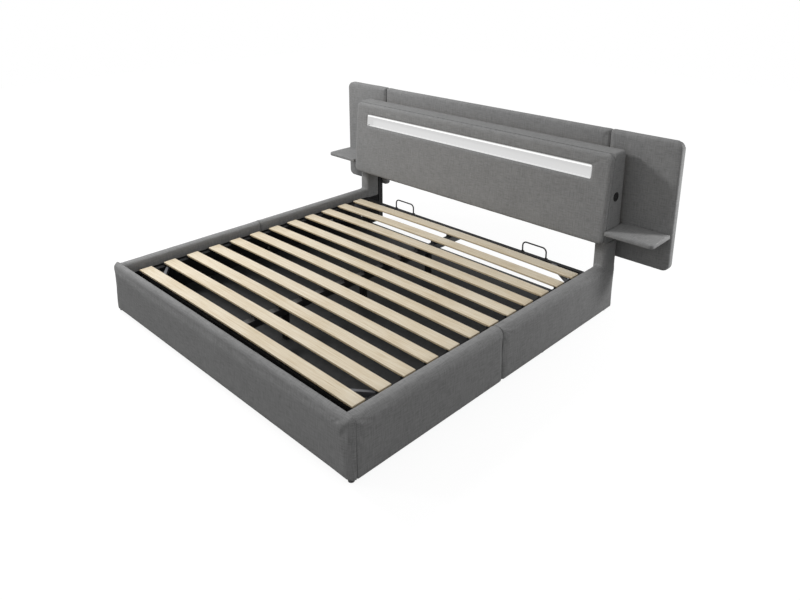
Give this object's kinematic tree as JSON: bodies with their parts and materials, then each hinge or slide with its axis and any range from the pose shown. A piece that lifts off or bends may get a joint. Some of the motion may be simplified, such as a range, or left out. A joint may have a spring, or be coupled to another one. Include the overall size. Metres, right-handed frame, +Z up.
{
  "type": "ottoman bed",
  "caption": "Upholstered ottoman bed: padded base with a gas-strut lift-up slatted platform over storage, and a headboard with lit recess, wings and shelves.",
  "frame": {"origin": "on the floor under the centre of the whole bed's bounding box", "axes": "+X to the right seen from the foot, +Y towards the headboard, +Z up"},
  "size_m": [2.6, 2.106, 1.034],
  "materials": {
    "upholstery": "woven linen-look polyester, matt",
    "board": "raw plywood and softwood",
    "black_steel": "black powder coat, satin",
    "zinc_steel": "zinc plated",
    "floor_board": "dark grey faced hardboard",
    "birch": "clear sealed birch plywood",
    "black_plastic": "moulded, fine texture",
    "white_tray": "smooth white",
    "diffuser": "frosted, lit",
    "back_lining": "thin black lining over board",
    "rod_chrome": "polished"
  },
  "bodies": {
    "frame": {"footboard_cover": "upholstery", "footboard_board": "board", "front_rail_cover_left": "upholstery", "front_rail_cover_right": "upholstery", "rear_side_cover_left": "upholstery", "rear_side_cover_right": "upholstery", "rail_boards": "board", "post_cores": "board", "corner_brackets": "black_steel", "rail_joint_plates": "black_steel", "frame_bolts": "zinc_steel", "glides": "black_plastic", "storage_floor_left": "floor_board", "storage_floor_right": "floor_board", "floor_battens": "board", "centre_bearer": "board", "platform_rests": "black_steel", "box_cover": "upholstery", "box_top_board": "board", "box_bottom_board": "board", "box_side_boards": "board", "box_back_board": "board", "box_front_board": "board", "headboard_front_pad": "upholstery", "light_tray": "white_tray", "light_diffuser": "diffuser", "light_driver": "white_tray", "charging_socket_left": "black_plastic", "charging_socket_right": "black_plastic", "wing_cover_left": "upholstery", "wing_cover_right": "upholstery", "centre_panel_cover": "upholstery", "back_boards": "back_lining", "headboard_uprights": "black_steel", "cross_rails": "black_steel", "shelf_cover_left": "upholstery", "shelf_cover_right": "upholstery", "shelf_boards": "board", "shelf_rods": "zinc_steel", "lift_bracket_left": "black_steel", "lift_bracket_right": "black_steel", "hinge_pins": "zinc_steel"},
    "platform": {"side_tube_left": "black_steel", "side_tube_right": "black_steel", "head_tube": "black_steel", "foot_tube": "black_steel", "centre_tube": "black_steel", "corner_braces": "black_steel", "slats": "birch", "slat_saddles": "black_plastic", "centre_legs": "black_steel", "mattress_loop_left": "black_steel", "mattress_loop_right": "black_steel", "loop_sockets": "black_steel"},
    "cylinder_left": {"gas_cylinder_left": "black_steel"},
    "cylinder_right": {"gas_cylinder_right": "black_steel"},
    "rod_left": {"gas_rod_left": "rod_chrome"},
    "rod_right": {"gas_rod_right": "rod_chrome"}
  },
  "joints": [
    {"name": "platform_lift", "type": "hinge", "parent": "frame", "child": "platform", "pos_m": [0, 0.747, 0.207], "axis": [-1, 0, 0], "range_deg": [0, 36]},
    {"name": "strut_swing_left", "type": "hinge", "parent": "frame", "child": "cylinder_left", "pos_m": [-0.915, 0.747, 0.062], "axis": [-1, 0, 0], "range_deg": [0, 28.5]},
    {"name": "strut_slide_left", "type": "slide", "parent": "cylinder_left", "child": "rod_left", "axis": [0, -0.9448, 0.3275], "range_m": [0, 0.0775]},
    {"name": "strut_swing_right", "type": "hinge", "parent": "frame", "child": "cylinder_right", "pos_m": [0.915, 0.747, 0.062], "axis": [-1, 0, 0], "range_deg": [0, 28.5]},
    {"name": "strut_slide_right", "type": "slide", "parent": "cylinder_right", "child": "rod_right", "axis": [0, -0.9448, 0.3275], "range_m": [0, 0.0775]}
  ],
  "couplings": [
    {"joint": "strut_swing_left", "follows": "platform_lift", "ratio": 0.79},
    {"joint": "strut_slide_left", "follows": "platform_lift", "m_per_rad": 0.1227},
    {"joint": "strut_swing_right", "follows": "platform_lift", "ratio": 0.79},
    {"joint": "strut_slide_right", "follows": "platform_lift", "m_per_rad": 0.1227}
  ]
}
